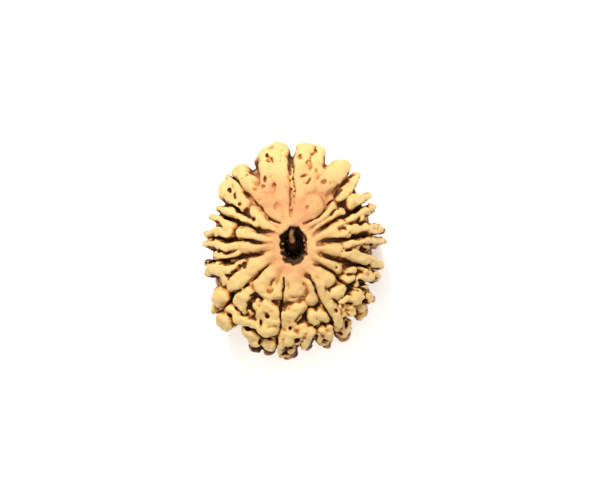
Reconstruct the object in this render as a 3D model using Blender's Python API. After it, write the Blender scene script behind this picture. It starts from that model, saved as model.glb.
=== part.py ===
"""Rudraksha bead: one grown seed stone with thirteen furrowed faces round a natural bore.

Lengths are in millimetres until the last step. The bore stands upright on the z axis.
An azimuth is in degrees from +Y, clockwise seen from above, and a radius is measured
from the bore's axis in that same view.
"""
import math

import bmesh
import bpy
import numpy as np

NAME = "bead"
COLLECTION = "rudraksha_bead"
MM = 0.001

# Body: a squat stone, narrowest across X, that bulges most toward its lower end
HALF_HEIGHT = 10.7
MEAN_RADIUS = 15.2
OVAL = 1.15
BULGE_ALONG = -0.55
BULGE_ACROSS = -0.53
SKEW = 0.33
CROWN_POWER = 2.6
SIDE_POWER = 1.8
FOOT_LEVEL = 0.55 - HALF_HEIGHT

# Depth below the skin of the flesh between the ribs: none at the collar, full from this radius out
HOLLOW_DEPTH = 1.9
HOLLOW_REACH = 10.5

# Width of the soft seam where two ribs meet
BLEND = 0.1

# Bore: an oval mouth, longer along Y, that narrows inward, where a ridge of pith stands out of its +Y wall
BORE_ACROSS = 1.85
BORE_ALONG = 2.75
BORE_NECK = 0.88
LIP = 1.1
PITH_AZIMUTH = 356
PITH_SPREAD = 20
PITH_SHARE = 0.55

# Furrows between the faces, from the collar to the rim
FURROW_DEPTH = 1.6
FURROW_BANK = 0.42
FURROW_RUN_IN = 2.4
CROWN_COLLAR = 3.6
FOOT_COLLAR = 6.2

# Rib tips round the girdle: how far up and down they reach, as a share of the half height, the
# knobs along each, and how far those stray sideways in degrees, in width as a share, and in reach
TIP_SPAN = 0.6
TIP_KNOBS = 9
TIP_SWAY = 3
TIP_UNEVEN = 0.35
TIP_STRAY = 0.3

# Foot: a smooth lobe in each face, whose half width goes by the degrees that the face spans, and
# a knobbed rib from near the collar to each tip
FOOT_LOBE = 0.04
FOOT_LOBE_END = 9
FOOT_LOBE_RISE = 0.1
FOOT_RIB_EXTRA = 0.25
FOOT_RIB_UNEVEN = (0.9, 1.2)
FOOT_RIB_LEAN = 2
FOOT_RIB_START = 10.2
FOOT_RIB_MIDDLE = 8.4
FOOT_RIB_END = 1.8
FOOT_RIB_RISE = 0.2
TAPER = 0.8

# Mesh: degrees from column to column round the stone, and rows from the bore's waist to the girdle.
# Each point starts over the skin and steps inward, by this share of its gap, until it meets a rib.
COLUMN_PITCH = 3
WALL_ROWS = 3
LIP_ROWS = 2
CROWN_ROWS = 20
FOOT_ROWS = 11
SIDE_ROWS = 4
SHOULDER = 0.95
MARCH_START = -1.5
MARCH_STEPS = 22
MARCH_SHARE = 0.9
SHARP_EDGE = 50

SEED = 13

# Furrow lines on the crown, as (azimuth, radius) points
FURROWS = [
    [(356, 4.5), (357, 6), (358.5, 8), (358.5, 12), (358, 14.3)],
    [(382, 3.8), (390, 4.6), (396, 5.5), (398, 7), (397.7, 8.2), (399.5, 9.5), (398, 12.5), (397, 14)],
    [(415, 4.3), (416.5, 6.5), (417, 8), (418.3, 9.2), (418, 10.5), (418.5, 11.8)],
    [(438, 4), (439.5, 5.5), (441, 7), (441, 9), (441.5, 13.3)],
    [(463, 4.2), (464.6, 5), (465.6, 6.5), (466, 8.5), (465.5, 12)],
    [(489, 4.2), (483.8, 5), (482.4, 6), (483.5, 7.8), (485.5, 9.2), (484.6, 10.6), (481, 12.4)],
    [(513.5, 4.5), (512, 5.5), (511.5, 7), (513, 8.3), (511.5, 10.8), (513.3, 13.5), (514.5, 15)],
    [(558, 4.5), (554, 6), (552, 7.5), (552.3, 8.8), (550, 12), (549.5, 16)],
    [(596, 4.3), (595, 5.5), (593, 6.8), (592, 10), (591.8, 11.3), (589.6, 12.5), (589, 15.5)],
    [(617, 4.6), (618.4, 6), (619.4, 8.5), (620, 11.5), (620, 13)],
    [(636, 4.4), (637.5, 5.5), (637.2, 8.3), (635.8, 10.5), (636.6, 12.5)],
    [(666, 3.7), (659, 4.6), (655.3, 5.6), (655.6, 7.7), (653, 10.2), (654.6, 12.7)],
    [(691, 4), (684.5, 4.8), (681, 5.7), (680.2, 8), (679.2, 9), (679.8, 10.5), (678.9, 13.8)],
]

# Ribs and knobs on the crown: (azimuth, radius, half width) along each, and its rise over the
# skin. Each step from one to the next is this many bars.
STATION_BARS = 3
RIBS = [
    ([(16, 4.6, 0.9), (24, 7, 1.4)], 0.1),
    ([(8, 4.6, 0.8), (8, 8, 1.15)], 0),
    ([(5, 9, 1), (5.5, 12.3, 1.15), (6.5, 14.3, 1.35)], 0.1),
    ([(14.5, 9.3, 0.8), (15.5, 11.6, 0.95), (14.5, 14.5, 1)], 0),
    ([(25.5, 9.9, 1.2), (28, 11.5, 1.5), (30.5, 13.3, 1.4), (32, 14.5, 0.75)], 0.3),
    ([(30, 3.7, 0.45), (39, 5.2, 0.4), (43, 6.6, 0.45), (43, 8.6, 0.48)], 0),
    ([(48, 5.2, 0.3), (51.5, 7, 0.42), (53, 8.9, 0.52)], 0),
    ([(42.5, 10, 0.5), (43.5, 11.6, 0.68), (42.3, 13.3, 0.6), (41, 14.5, 0.4)], 0),
    ([(51.5, 10.7, 0.78), (53.5, 12, 0.7), (56.2, 13.7, 0.38)], 0),
    ([(67, 4.4, 0.5), (69.5, 6.2, 0.8), (75.3, 8, 0.5)], 0.1),
    ([(66, 6.2, 0.5), (63.5, 8.1, 0.4), (62.3, 11.3, 0.4), (63.4, 13.4, 0.36)], 0.05),
    ([(71.5, 8.7, 0.6), (75, 10.6, 0.72), (77, 12.3, 0.66), (78.8, 13.8, 0.42)], 0.1),
    ([(91.5, 4.3, 0.55), (92, 6.2, 0.85)], 0.1),
    ([(87.5, 7.9, 0.6), (85.3, 9.8, 0.42), (84.8, 12, 0.42), (86.5, 13.8, 0.42)], 0),
    ([(97, 7.3, 0.5), (98.7, 8.7, 0.6), (99.3, 10.9, 0.8), (101, 12.5, 0.6), (102.4, 13.6, 0.38)], 0.1),
    ([(114, 4.7, 0.45), (115, 7.1, 0.74)], 0.1),
    ([(109.5, 9.5, 0.42), (113, 8.9, 0.5)], 0),
    ([(118, 9.6, 0.5), (121, 9.1, 0.62)], 0),
    ([(115, 10.7, 0.62), (112.5, 11.5, 0.72), (110.3, 12.5, 0.5), (109.8, 13.6, 0.3)], 0.1),
    ([(136, 4.9, 0.75), (133.5, 7.1, 0.95)], 0.1),
    ([(146, 4.7, 0.5), (146.3, 8.7, 0.62), (147, 11.3, 0.72), (149.8, 13.4, 0.5)], 0.15),
    ([(130, 9.5, 0.55), (138, 9.15, 0.72)], 0),
    ([(137, 10.7, 0.38), (132.5, 11.3, 0.6), (128.7, 12, 0.82)], 0.2),
    ([(119.8, 12.3, 0.42), (122.8, 11.8, 0.45)], 0),
    ([(123, 13.1, 0.55), (123.8, 14.1, 0.6)], 0.1),
    ([(131.8, 13.6, 0.42), (131.5, 14.8, 0.45), (135, 14.7, 0.5)], 0),
    ([(135.8, 12.6, 0.45), (139, 11.5, 0.42)], 0),
    ([(138.8, 13.2, 0.42), (143, 12.4, 0.42)], 0.1),
    ([(145.5, 14.3, 0.65), (148.5, 15, 0.85), (150.5, 15.3, 0.6)], 0),
    ([(156.5, 5.8, 0.5), (158.3, 7.2, 0.75), (160.5, 8.2, 0.82)], 0.1),
    ([(176, 4.2, 0.95), (176.5, 6.3, 1.3)], 0.1),
    ([(171, 8.9, 0.55), (178, 9.3, 0.9), (184, 9.9, 1.3)], 0.05),
    ([(156.8, 10.6, 0.66), (155, 11.3, 0.5)], 0.1),
    ([(163.8, 10.3, 0.62), (163.2, 11.8, 0.36)], 0.15),
    ([(168.6, 12.3, 0.72), (171.3, 14.1, 0.5), (174.2, 15.6, 0.36)], 0.15),
    ([(173.5, 12, 0.75), (180, 12.3, 0.95)], 0.3),
    ([(184, 12.9, 0.95), (183.5, 14, 0.8)], 0.25),
    ([(178.2, 14.6, 0.42), (181.3, 15.8, 0.5)], 0.1),
    ([(187, 14.4, 0.45), (187.2, 16.1, 0.5), (183.5, 16.6, 0.45)], 0),
    ([(161, 13, 0.55), (158.2, 14.3, 0.72)], 0.2),
    ([(164.6, 13.9, 0.42), (164.6, 14.9, 0.5)], 0.05),
    ([(199, 5.2, 0.4), (199.3, 7.2, 0.8)], 0.1),
    ([(220, 4.9, 0.8), (220.5, 7, 1.25)], 0.1),
    ([(196.3, 9.75, 0.75), (203, 9.4, 0.9)], 0.1),
    ([(195.3, 12.3, 0.95), (199.6, 12.5, 1.1)], 0.2),
    ([(225.6, 9.3, 0.75), (224, 10.6, 1.05), (219.5, 11.7, 0.65)], 0.15),
    ([(205, 12.4, 0.55), (212, 12.95, 0.6), (217.6, 13.8, 0.55)], 0.15),
    ([(217.6, 13.8, 0.55), (223, 13, 0.52), (227, 13.6, 0.52)], 0.15),
    ([(223.4, 15.3, 1.15), (223.2, 15.6, 1.15)], 0.2),
    ([(194.4, 15.1, 0.9), (194.2, 15.4, 0.85)], 0),
    ([(202, 15.5, 0.85), (208.5, 14.9, 0.75)], 0.05),
    ([(246, 4.8, 0.75), (242.5, 7, 0.95), (238.6, 9.5, 0.82), (237.3, 10.7, 0.66)], 0.15),
    ([(250, 4.9, 0.45), (249, 6.4, 0.7)], 0),
    ([(236, 12.7, 0.95), (235, 13.6, 1.05)], 0.1),
    ([(241.5, 11.4, 0.45), (246, 11, 0.5)], 0),
    ([(251, 10, 0.6), (253.7, 11.6, 0.8), (255, 13.1, 0.5)], 0.15),
    ([(268, 4.8, 0.5), (268, 7.2, 0.78)], 0.1),
    ([(263.6, 8, 0.36), (263.5, 9.6, 0.3), (264.2, 11.5, 0.5)], 0),
    ([(271.5, 8.2, 0.48), (270.8, 10, 0.52), (271.8, 12, 0.45), (272.2, 13.4, 0.3)], 0.05),
    ([(286.5, 4.6, 0.45), (285.8, 6.4, 0.55), (284.6, 7.9, 0.68)], 0.1),
    ([(281, 9.9, 0.6), (281, 11.2, 0.6), (279.4, 13, 0.38)], 0.1),
    ([(288.5, 9.9, 0.5), (289.5, 11, 0.42), (290.3, 12.8, 0.38)], 0.1),
    ([(301, 6.4, 0.42), (300.4, 7.5, 0.42), (299, 9, 0.38), (298.8, 10.8, 0.6), (297.4, 12.5, 0.3)], 0),
    ([(315, 3.6, 0.42), (309.5, 5.1, 0.6), (309.5, 6.7, 0.85), (312.3, 8.1, 0.72)], 0.1),
    ([(311.3, 9.8, 0.95), (311.5, 11.9, 1.15), (311, 13.3, 1.1)], 0.05),
    ([(315.5, 11.5, 0.6), (316.8, 14.3, 0.4)], 0),
    ([(334, 4.8, 0.85), (330, 7.4, 1.45)], 0.1),
    ([(350, 4.9, 0.8), (347, 7.8, 1.15), (348, 10.5, 1.2)], 0.15),
    ([(325.5, 9, 0.9), (325, 11.3, 0.9), (324.6, 13.8, 1.05)], 0),
    ([(334, 9.5, 1), (339, 11, 1.1), (343, 13.1, 1.2)], 0),
    ([(348.5, 12, 1.5), (349.3, 14.1, 1.65)], 0.1),
]

# Rib tips that make the outline round the girdle: azimuth, reach, half width
TIPS = [
    (7, 15.8, 1.3), (14.3, 15.5, 0.9), (31.3, 15.3, 1.1), (40.8, 14.9, 0.5), (56.4, 14.2, 0.45),
    (63.4, 13.8, 0.36), (79, 14.2, 0.5), (86.6, 14.1, 0.45), (102.5, 13.9, 0.45), (110, 13.9, 0.42),
    (124, 15, 0.6), (133, 15.4, 0.8), (150.5, 16.4, 1), (160.5, 16.4, 0.9), (172, 15.9, 0.7),
    (183.5, 17.2, 1.2), (193.6, 16.8, 0.9), (201.5, 17, 1), (209, 15.6, 0.8), (223, 16.8, 1.1),
    (231, 16.2, 0.6), (237, 14.6, 1), (253.8, 14.2, 0.6), (259.6, 14, 0.4), (272, 14, 0.4),
    (278.2, 13.9, 0.4), (290.2, 13.5, 0.4), (297.2, 13.1, 0.4), (310.5, 14.5, 1.2), (317, 15, 0.5),
    (324, 15.2, 1.1), (341.5, 15.2, 1.1), (350.5, 16, 1.6),
]


def body_radius(azimuth):
    """Girdle radius of the skin; takes radians."""
    return (MEAN_RADIUS + BULGE_ALONG * np.cos(azimuth) + BULGE_ACROSS * np.sin(azimuth)
            + OVAL * np.cos(2 * azimuth) + SKEW * np.sin(2 * azimuth))


def skin_height(azimuth, radius, inset=0.0):
    """Height over the girdle of the skin, or of a surface that lies inset beneath it."""
    share = np.clip(radius / (body_radius(azimuth) - inset), 0, 1)
    return (HALF_HEIGHT - inset) * (1 - share ** CROWN_POWER) ** (1 / SIDE_POWER)


def place(azimuth, radius, height):
    """Point at an azimuth in degrees."""
    angle = np.radians(azimuth)
    return np.stack([radius * np.sin(angle), radius * np.cos(angle), height], axis=-1)


def chain(stations, rise, side):
    """Round bars that join the stations of one rib, just under the skin of one side."""
    azimuth, radius, width = np.array(stations, dtype=float).T
    steps = np.linspace(0, len(stations) - 1, STATION_BARS * (len(stations) - 1) + 1)
    knots = np.arange(len(stations))
    azimuth, radius, width = (np.interp(steps, knots, row) for row in (azimuth, radius, width))
    height = skin_height(np.radians(azimuth), radius, width - rise)
    centre = place(azimuth, radius, side * height)
    return np.hstack([centre[:-1], centre[1:], width[:-1, None], width[1:, None]])


def girdle_bars(random):
    """Rib tips, each carried down the side from the crown to the foot as a row of knobs."""
    bars = []
    heights = HALF_HEIGHT * np.linspace(-TIP_SPAN, TIP_SPAN, TIP_KNOBS)
    from_tip = np.abs(heights) / heights.max()
    for azimuth, reach, width in TIPS:
        sway = azimuth + TIP_SWAY * from_tip * random.uniform(-1, 1, TIP_KNOBS)
        knob = width * (1 + from_tip * random.uniform(-TIP_UNEVEN, TIP_UNEVEN, TIP_KNOBS))
        radius = reach * (1 - np.abs(heights / HALF_HEIGHT) ** SIDE_POWER) ** (1 / CROWN_POWER)
        radius += from_tip * random.uniform(-TIP_STRAY, TIP_STRAY, TIP_KNOBS) - knob
        centre = place(sway, radius, heights)
        bars.append(np.hstack([centre[:-1], centre[1:], knob[:-1, None], knob[1:, None]]))
    return bars


def foot_bars(random):
    """Ribs of the underside: a smooth lobe in each face, then a knobbed rib to every tip."""
    bars = []
    ends = [line[-1][0] for line in FURROWS]
    for start, end in zip(ends, ends[1:] + [ends[0] + 360]):
        middle = (start + end) / 2 + random.uniform(-1, 1)
        width = FOOT_LOBE * (end - start)
        lobe = [(middle, FOOT_COLLAR, TAPER * width), (middle, FOOT_LOBE_END, width)]
        bars.append(chain(lobe, FOOT_LOBE_RISE, -1))
    for azimuth, reach, width in TIPS:
        knob = FOOT_RIB_EXTRA + width * random.uniform(*FOOT_RIB_UNEVEN)
        lean = azimuth + random.uniform(-FOOT_RIB_LEAN, FOOT_RIB_LEAN)
        rib = [(lean, FOOT_RIB_START, TAPER * knob),
               (azimuth, (reach + FOOT_RIB_MIDDLE) / 2, knob),
               (azimuth, reach - FOOT_RIB_END, TAPER * knob)]
        bars.append(chain(rib, random.uniform(0, FOOT_RIB_RISE), -1))
    return bars


def bore_radius(azimuth):
    """Radius of the bore's mouth; takes radians."""
    return BORE_ACROSS * BORE_ALONG / np.hypot(BORE_ACROSS * np.cos(azimuth), BORE_ALONG * np.sin(azimuth))


def half_profile(azimuth, flat_rows):
    """Radii and heights of the smooth skin, a row for each column of the mesh, from the bore's
    waist over the lip and the crown or foot to the girdle; takes radians."""
    wall, lip, crown, side = np.split(azimuth, np.cumsum([WALL_ROWS, LIP_ROWS, flat_rows]), axis=1)

    rise = np.arange(WALL_ROWS) / WALL_ROWS
    from_pith = (np.degrees(wall) - PITH_AZIMUTH + 180) % 360 - 180
    pith = PITH_SHARE * np.exp(-(from_pith / PITH_SPREAD) ** 2)
    wall_radius = bore_radius(wall) * (BORE_NECK + (1 - BORE_NECK) * rise ** 2 - pith * (1 - rise))
    wall_height = (skin_height(wall, bore_radius(wall) + LIP) - LIP) * rise

    turn = math.pi / 2 * np.arange(LIP_ROWS) / LIP_ROWS
    lip_collar = bore_radius(lip) + LIP
    lip_radius = lip_collar - LIP * np.cos(turn)
    lip_height = skin_height(lip, lip_collar) - LIP * (1 - np.sin(turn))

    share = np.arange(flat_rows) / flat_rows
    crown_collar = bore_radius(crown) + LIP
    crown_radius = crown_collar + (SHOULDER * body_radius(crown) - crown_collar) * share
    crown_height = skin_height(crown, crown_radius)

    drop = 1 - np.arange(SIDE_ROWS + 1) / SIDE_ROWS
    side_height = skin_height(side, SHOULDER * body_radius(side)) * drop
    side_radius = body_radius(side) * (1 - (side_height / HALF_HEIGHT) ** SIDE_POWER) ** (1 / CROWN_POWER)
    return (np.hstack([wall_radius, lip_radius, crown_radius, side_radius]),
            np.hstack([wall_height, lip_height, crown_height, side_height]))


def face_columns():
    """Number of the mesh's columns in each face, by how far it spans at the rim."""
    ends = [line[-1][0] for line in FURROWS]
    return [round((end - start) / COLUMN_PITCH) for start, end in zip(ends, ends[1:] + [ends[0] + 360])]


def column_azimuths(radius, on_crown):
    """Azimuths of the mesh's columns where a row has this radius, in degrees. The first column of
    each face runs along a furrow, and the next one and the last one along its banks."""
    lines = []
    for points in FURROWS:
        azimuth, reach = np.array(points, dtype=float).T
        lines.append(np.interp(radius, reach, azimuth) if on_crown else azimuth[-1])
    azimuths = []
    for start, end, columns in zip(lines, lines[1:] + [lines[0] + 360], face_columns()):
        bank = min(FURROW_BANK / (radius * math.radians(end - start)), 1 / columns)
        shares = np.append(0, np.linspace(bank, 1 - bank, columns - 1))
        azimuths.append(start + (end - start) * shares)
    return np.concatenate(azimuths)


def half_azimuths(on_crown, flat_rows):
    """Azimuths of every column, in radians, in each row from the bore's waist to the girdle."""
    rows = WALL_ROWS + LIP_ROWS + flat_rows + SIDE_ROWS + 1
    even = np.linspace(0, 2 * math.pi, sum(face_columns()), endpoint=False)
    radius = half_profile(np.tile(even[:, None], rows), flat_rows)[0].mean(axis=0)
    azimuth = np.stack([column_azimuths(reach, on_crown) for reach in radius], axis=1)
    if on_crown:
        under = column_azimuths(radius[0], False)[:, None]
        share = np.clip(np.arange(rows) / WALL_ROWS, 0, 1)
        azimuth = under + (azimuth - under) * share
    return np.radians(azimuth)


def ramp(value, start, end):
    share = np.clip((value - start) / (end - start), 0, 1)
    return share * share * (3 - 2 * share)


def to_bars(points, bars):
    """Distance from each point to the blended ribs, negative inside them."""
    start, end, width_start, width_end = bars[:, :3], bars[:, 3:6], bars[:, 6], bars[:, 7]
    axis = end - start
    offset = points[:, None, :] - start
    share = np.clip((offset * axis).sum(axis=-1) / (axis * axis).sum(axis=-1), 0, 1)
    gap = np.linalg.norm(offset - share[..., None] * axis, axis=-1)
    gap -= width_start + (width_end - width_start) * share
    nearest = gap.min(axis=1)
    return nearest - BLEND * np.log(np.exp((nearest[:, None] - gap) / BLEND).sum(axis=1))


def half_surface(on_crown, bars):
    """Points of one half, as columns of rows: ribs, hollows and furrows in the smooth skin."""
    side = 1 if on_crown else -1
    collar = CROWN_COLLAR if on_crown else FOOT_COLLAR
    flat_rows = CROWN_ROWS if on_crown else FOOT_ROWS
    azimuth = half_azimuths(on_crown, flat_rows)
    radius, height = half_profile(azimuth, flat_rows)
    skin = np.stack([radius * np.sin(azimuth), radius * np.cos(azimuth), side * height], axis=-1)

    slope_out = -np.gradient(height, axis=1)
    slope_up = np.gradient(radius, axis=1)
    slope_out[:, -1] = 1
    slope_up[:, -1] = 0
    outward = np.stack([slope_out * np.sin(azimuth), slope_out * np.cos(azimuth), side * slope_up], axis=-1)
    outward /= np.linalg.norm(outward, axis=-1, keepdims=True)

    hollow = HOLLOW_DEPTH * ramp(radius, collar - 1, HOLLOW_REACH)
    depth = np.full(radius.shape, MARCH_START)
    for _ in range(MARCH_STEPS):
        points = skin - outward * depth[..., None]
        gap = to_bars(points.reshape(-1, 3), bars).reshape(radius.shape)
        depth = np.minimum(depth + MARCH_SHARE * gap, hollow)
    depth[:, :WALL_ROWS + LIP_ROWS] = 0
    furrow = FURROW_DEPTH * ramp(radius, collar, collar + FURROW_RUN_IN)
    on_furrow = np.append(0, np.cumsum(face_columns()))[:-1]
    depth[on_furrow] = np.maximum(depth, furrow)[on_furrow]

    points = skin - outward * depth[..., None]
    points[..., 2] = np.maximum(points[..., 2], FOOT_LEVEL)
    return points


def bead_points():
    """Points of the whole stone, as columns of rows: the bore's waist, the crown, the girdle, then
    the foot and back up the bore. The stone is centred on its own box and stands on z = 0."""
    random = np.random.default_rng(SEED)
    crown_bars = [chain(stations, rise, 1) for stations, rise in RIBS]
    bars = np.vstack(crown_bars + girdle_bars(random) + foot_bars(random))
    crown = half_surface(True, bars)
    foot = half_surface(False, bars)
    points = np.concatenate([crown, foot[:, -2:0:-1]], axis=1)
    low = points.reshape(-1, 3).min(axis=0)
    high = points.reshape(-1, 3).max(axis=0)
    return (points - [(low[0] + high[0]) / 2, (low[1] + high[1]) / 2, low[2]]) * MM


def stone_material():
    material = bpy.data.materials.new("seed_stone")
    material.use_nodes = True
    shader = material.node_tree.nodes["Principled BSDF"]
    shader.inputs["Base Color"].default_value = (0.82, 0.52, 0.24, 1)
    shader.inputs["Roughness"].default_value = 0.5
    shader.inputs["Metallic"].default_value = 0
    return material


def add_bead(collection):
    """The stone, from a torus whose hole is the bore: each of its vertices takes a surface point."""
    points = bead_points()
    columns, rows = points.shape[:2]
    bpy.ops.mesh.primitive_torus_add(
        major_segments=columns, minor_segments=rows,
        major_radius=MEAN_RADIUS * MM, minor_radius=HALF_HEIGHT * MM)
    bead = bpy.context.object
    bead.name = NAME
    bead.data.name = NAME
    girdle_row = WALL_ROWS + LIP_ROWS + CROWN_ROWS + SIDE_ROWS
    for vertex in bead.data.vertices:
        turn, climb = divmod(vertex.index, rows)
        vertex.co = points[-turn % columns, (girdle_row - climb) % rows]
    for owner in bead.users_collection:
        owner.objects.unlink(bead)
    collection.objects.link(bead)

    shape = bmesh.new()
    shape.from_mesh(bead.data)
    bmesh.ops.triangulate(shape, faces=shape.faces, quad_method="SHORT_EDGE")
    shape.to_mesh(bead.data)
    shape.free()
    bead.data.materials.append(stone_material())
    bead.data.shade_smooth()
    bead.data.set_sharp_from_angle(angle=math.radians(SHARP_EDGE))
    return bead


for item in list(bpy.data.objects):
    bpy.data.objects.remove(item, do_unlink=True)
stone = bpy.data.collections.new(COLLECTION)
bpy.context.scene.collection.children.link(stone)
add_bead(stone)
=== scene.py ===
import math

import bpy
import numpy as np
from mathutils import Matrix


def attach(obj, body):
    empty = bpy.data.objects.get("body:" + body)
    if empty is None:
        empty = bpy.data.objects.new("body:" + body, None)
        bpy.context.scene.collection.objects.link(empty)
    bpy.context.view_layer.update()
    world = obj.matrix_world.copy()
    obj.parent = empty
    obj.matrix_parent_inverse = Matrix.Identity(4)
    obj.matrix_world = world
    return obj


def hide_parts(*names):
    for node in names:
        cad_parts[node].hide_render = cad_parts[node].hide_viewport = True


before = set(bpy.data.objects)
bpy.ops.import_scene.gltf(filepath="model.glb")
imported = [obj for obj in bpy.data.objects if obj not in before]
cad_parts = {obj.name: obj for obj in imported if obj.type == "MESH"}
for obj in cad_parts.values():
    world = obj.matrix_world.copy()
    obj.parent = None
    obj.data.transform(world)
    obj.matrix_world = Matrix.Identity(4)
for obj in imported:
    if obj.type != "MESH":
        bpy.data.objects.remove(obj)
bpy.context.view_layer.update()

import openvdb

# The stone's flesh
# A rudraksha bead is the bare stone of a dried fruit, woody and grown in one piece. This is its
# body between the ribs: squat, oval in plan, pierced from pole to pole by the natural bore.
# Lengths are in millimetres. An azimuth is in degrees from +Y, clockwise seen from above.

MM = 0.001
HALF_HEIGHT = 10.7
MEAN_RADIUS = 15.2
OVAL = 1.15
BULGE_ALONG = -0.55
BULGE_ACROSS = -0.53
SKEW = 0.33
CROWN_POWER = 2.6
SIDE_POWER = 1.8
FOOT_LEVEL = 0.55 - HALF_HEIGHT
FOOT_COLLAR = 6.2

# Depth of the flesh under the skin by radius: none at the collar, deepest between the rib tips
HOLLOWS = [(2.8, 0.0), (4.5, 0.6), (6.5, 1.2), (8.5, 1.9), (11, 2.5), (13, 2.9), (15, 3.5)]
# The faces on one side are full, and on the other side full near the collar alone: the azimuth
# and spread in degrees, and the radius past which the fullness fades
FULL_FACES = (358, 45, 11.8)
FULL_LOBES = (185, 56, 7.6)
FULL_FADE = 2
FULLNESS = 0.78
# Power of the curve that is one within a spread and drops off past it
SPREAD_POWER = 6
# The skin's slope runs out in the middle of the stone, where this stands in for it
LEAST_SLOPE = 0.08

# The field: distances to the stone's surface on a grid of points, negative inside. The grid
# reaches this far from the middle across, along and up
GRID_STEP = 0.15
GRID_REACH = (17.65, 18.65, HALF_HEIGHT + 1.5)

# Growth never runs straight: over each of these distances every shape wanders, or its skin
# rises and sinks, by up to the length that follows
WANDER = [(2.6, 0.24), (1.1, 0.13), (0.6, 0.05)]
WRINKLES = [(0.9, 0.06), (0.45, 0.04)]
GROWTH_SEED = 4


def body_radius(azimuth):
    """Girdle radius of the skin; takes radians."""
    return (MEAN_RADIUS + BULGE_ALONG * np.cos(azimuth) + BULGE_ACROSS * np.sin(azimuth)
            + OVAL * np.cos(2 * azimuth) + SKEW * np.sin(2 * azimuth))


def skin_height(azimuth, radius, inset=0.0):
    """Height over the girdle of the skin, or of a surface that lies inset beneath it."""
    share = np.clip(radius / (body_radius(azimuth) - inset), 0, 1)
    return (HALF_HEIGHT - inset) * (1 - share ** CROWN_POWER) ** (1 / SIDE_POWER)


def skin_radius(azimuth, height):
    """Radius of the skin at a height over the girdle."""
    share = np.clip(np.abs(height) / HALF_HEIGHT, 0, 1)
    return body_radius(azimuth) * (1 - share ** SIDE_POWER) ** (1 / CROWN_POWER)


def polar(points):
    """Azimuths in radians, and radii, of points."""
    return np.arctan2(points[..., 0], points[..., 1]), np.hypot(points[..., 0], points[..., 1])


def skin_gap(points):
    """Distance of points over the skin, negative under it, good near the skin."""
    azimuth, radius = polar(points)
    radius = radius / body_radius(azimuth)
    height = np.abs(points[..., 2]) / HALF_HEIGHT
    slope = np.hypot(CROWN_POWER * radius ** (CROWN_POWER - 1) / MEAN_RADIUS,
                     SIDE_POWER * height ** (SIDE_POWER - 1) / HALF_HEIGHT)
    return (radius ** CROWN_POWER + height ** SIDE_POWER - 1) / np.maximum(slope, LEAST_SLOPE)


def place(azimuth, radius, height):
    """Point at an azimuth in radians."""
    return np.stack([radius * np.sin(azimuth), radius * np.cos(azimuth), height], axis=-1)


def share_within(azimuth, middle, spread):
    """One near an azimuth in degrees, dropping to none past the spread from it."""
    return np.exp(-(((azimuth - middle + 180) % 360 - 180) / spread) ** SPREAD_POWER)


def full_share(azimuth):
    """How far an azimuth in degrees is among the full faces."""
    return share_within(azimuth, *FULL_FACES[:2])


def ramp(value, start, end):
    """A smooth rise from 0 to 1 between two values."""
    share = np.clip((value - start) / (end - start), 0, 1)
    return share * share * (3 - 2 * share)


def growth_noise(counts, spacing, random, parts):
    """Smooth random values on the grid, from -1 to 1, that change over the spacing."""
    values = random.uniform(-1, 1, [int(count * GRID_STEP / spacing) + 3 for count in counts] + [parts])
    for axis, count in enumerate(counts):
        place_now = np.arange(count) * GRID_STEP / spacing
        cell = place_now.astype(int)
        share = ramp(place_now - cell, 0, 1).reshape([-1 if k == axis else 1 for k in range(4)])
        values = np.take(values, cell, axis) * (1 - share) + np.take(values, cell + 1, axis) * share
    return values.astype(np.float32)


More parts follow.
